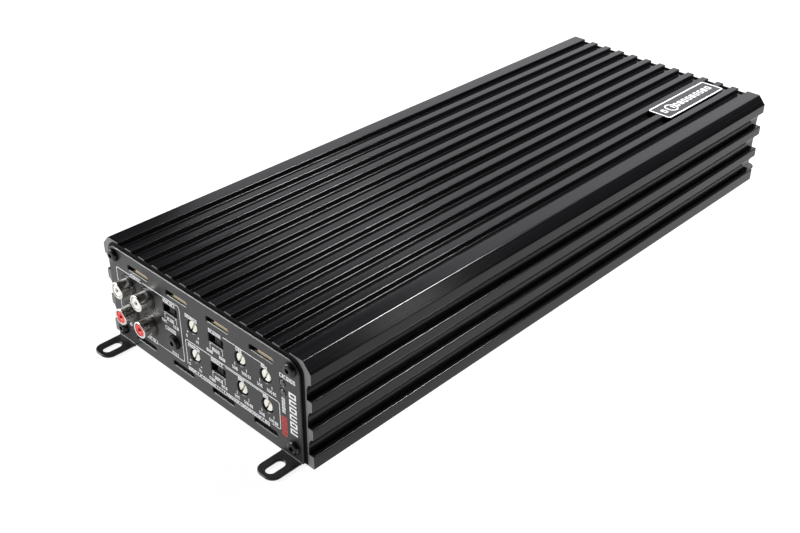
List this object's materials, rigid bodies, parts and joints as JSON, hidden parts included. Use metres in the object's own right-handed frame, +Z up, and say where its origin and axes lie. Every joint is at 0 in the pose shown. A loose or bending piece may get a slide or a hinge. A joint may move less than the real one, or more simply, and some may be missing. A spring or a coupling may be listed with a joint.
{
  "type": "car amplifier",
  "caption": "Long ribbed aluminium car amplifier with coated end panels, slotted mounting feet, phono inputs, trimmer controls and rear power and speaker terminals.",
  "frame": {"origin": "on the surface that the feet stand on, under the middle of the case", "axes": "+X is the width, +Y runs along the case from the control panel to the terminal panel, +Z is up"},
  "size_m": [0.14, 0.39, 0.0536],
  "materials": {
    "black_anodised": "black anodised aluminium, fine lengthwise die lines",
    "panel_coating": "dark grey satin coating on steel",
    "black_screw": "black oxide steel, slightly glossy",
    "nickel": "bright nickel plate",
    "white_plastic": "smooth white plastic",
    "red_plastic": "smooth red plastic",
    "ivory_plastic": "smooth ivory plastic",
    "black_plastic": "moulded black plastic",
    "led_lens": "clear epoxy lens, unlit",
    "cream_card": "cream insulating card",
    "fuse_plastic": "amber translucent plastic",
    "terminal_green": "green terminal plastic",
    "board_green": "green circuit board",
    "copper_winding": "enamelled copper wire",
    "capacitor_sleeve": "dark blue shrink sleeve",
    "bare_aluminium": "milled aluminium",
    "badge_plate": "dark satin badge plate with a white border"
  },
  "bodies": {
    "chassis": {"heatsink_case": "black_anodised", "bottom_cover": "panel_coating", "front_panel": "panel_coating", "rear_panel": "panel_coating", "front_panel_screw_upper_left": "black_screw", "front_panel_screw_upper_right": "black_screw", "front_panel_screw_lower_left": "black_screw", "front_panel_screw_lower_right": "black_screw", "rear_panel_screw_upper_left": "black_screw", "rear_panel_screw_upper_right": "black_screw", "rear_panel_screw_lower_left": "black_screw", "rear_panel_screw_lower_right": "black_screw", "front_left_jack_shell": "nickel", "front_left_jack_insert": "white_plastic", "front_right_jack_shell": "nickel", "front_right_jack_insert": "red_plastic", "rear_left_jack_shell": "nickel", "rear_left_jack_insert": "white_plastic", "rear_right_jack_shell": "nickel", "rear_right_jack_insert": "red_plastic", "jack_housing": "black_plastic", "front_gain_pot_body": "black_plastic", "front_high_pass_pot_body": "black_plastic", "front_low_pass_pot_body": "black_plastic", "rear_gain_pot_body": "black_plastic", "rear_high_pass_pot_body": "black_plastic", "rear_low_pass_pot_body": "black_plastic", "input_switch_body": "black_plastic", "front_filter_switch_body": "black_plastic", "rear_filter_switch_body": "black_plastic", "remote_level_jack": "black_plastic", "alarm_led": "led_lens", "power_led": "led_lens", "insulating_card": "cream_card", "power_block": "black_plastic", "speaker_socket": "black_plastic", "main_board": "board_green", "control_board": "board_green", "transformer": "copper_winding", "output_choke": "copper_winding", "reservoir_capacitor_1": "capacitor_sleeve", "reservoir_capacitor_2": "capacitor_sleeve", "transistor_clamp_left": "bare_aluminium", "transistor_clamp_right": "bare_aluminium", "badge": "badge_plate"},
    "front_gain_pot_shaft": {"front_gain_pot_shaft": "ivory_plastic"},
    "front_high_pass_pot_shaft": {"front_high_pass_pot_shaft": "ivory_plastic"},
    "front_low_pass_pot_shaft": {"front_low_pass_pot_shaft": "ivory_plastic"},
    "rear_gain_pot_shaft": {"rear_gain_pot_shaft": "ivory_plastic"},
    "rear_high_pass_pot_shaft": {"rear_high_pass_pot_shaft": "ivory_plastic"},
    "rear_low_pass_pot_shaft": {"rear_low_pass_pot_shaft": "ivory_plastic"},
    "input_switch_slider": {"input_switch_slider": "black_plastic"},
    "front_filter_switch_slider": {"front_filter_switch_slider": "black_plastic"},
    "rear_filter_switch_slider": {"rear_filter_switch_slider": "black_plastic"},
    "ground_clamp_screw": {"ground_clamp_screw": "nickel"},
    "remote_clamp_screw": {"remote_clamp_screw": "nickel"},
    "battery_clamp_screw": {"battery_clamp_screw": "nickel"},
    "blade_fuse_1": {"blade_fuse_1": "fuse_plastic"},
    "blade_fuse_2": {"blade_fuse_2": "fuse_plastic"},
    "speaker_plug": {"speaker_plug": "terminal_green"}
  },
  "joints": [
    {"name": "front_gain_turn", "type": "hinge", "parent": "chassis", "child": "front_gain_pot_shaft", "pos_m": [-0.004, -0.1785, 0.035], "axis": [0, 1, 0], "range_deg": [0, 270]},
    {"name": "front_high_pass_turn", "type": "hinge", "parent": "chassis", "child": "front_high_pass_pot_shaft", "pos_m": [0.028, -0.1785, 0.035], "axis": [0, 1, 0], "range_deg": [0, 270]},
    {"name": "front_low_pass_turn", "type": "hinge", "parent": "chassis", "child": "front_low_pass_pot_shaft", "pos_m": [0.044, -0.1785, 0.035], "axis": [0, 1, 0], "range_deg": [0, 270]},
    {"name": "rear_gain_turn", "type": "hinge", "parent": "chassis", "child": "rear_gain_pot_shaft", "pos_m": [-0.004, -0.1785, 0.0196], "axis": [0, 1, 0], "range_deg": [0, 270]},
    {"name": "rear_high_pass_turn", "type": "hinge", "parent": "chassis", "child": "rear_high_pass_pot_shaft", "pos_m": [0.028, -0.1785, 0.0196], "axis": [0, 1, 0], "range_deg": [0, 270]},
    {"name": "rear_low_pass_turn", "type": "hinge", "parent": "chassis", "child": "rear_low_pass_pot_shaft", "pos_m": [0.044, -0.1785, 0.0196], "axis": [0, 1, 0], "range_deg": [0, 270]},
    {"name": "input_switch_slide", "type": "slide", "parent": "chassis", "child": "input_switch_slider", "axis": [1, 0, 0], "range_m": [-0.003, 0.003]},
    {"name": "front_filter_switch_slide", "type": "slide", "parent": "chassis", "child": "front_filter_switch_slider", "axis": [1, 0, 0], "range_m": [-0.003, 0.003]},
    {"name": "rear_filter_switch_slide", "type": "slide", "parent": "chassis", "child": "rear_filter_switch_slider", "axis": [1, 0, 0], "range_m": [-0.003, 0.003]},
    {"name": "ground_clamp_turn", "type": "hinge", "parent": "chassis", "child": "ground_clamp_screw", "pos_m": [0.049, 0.183, 0.0364], "axis": [0, 0, 1], "continuous": true},
    {"name": "remote_clamp_turn", "type": "hinge", "parent": "chassis", "child": "remote_clamp_screw", "pos_m": [0.036, 0.183, 0.0364], "axis": [0, 0, 1], "continuous": true},
    {"name": "battery_clamp_turn", "type": "hinge", "parent": "chassis", "child": "battery_clamp_screw", "pos_m": [0.023, 0.183, 0.0364], "axis": [0, 0, 1], "continuous": true},
    {"name": "blade_fuse_1_pull", "type": "slide", "parent": "chassis", "child": "blade_fuse_1", "axis": [0, 1, 0], "range_m": [0, 0.016]},
    {"name": "blade_fuse_2_pull", "type": "slide", "parent": "chassis", "child": "blade_fuse_2", "axis": [0, 1, 0], "range_m": [0, 0.016]},
    {"name": "speaker_plug_pull", "type": "slide", "parent": "chassis", "child": "speaker_plug", "axis": [0, 1, 0], "range_m": [0, 0.014]}
  ]
}
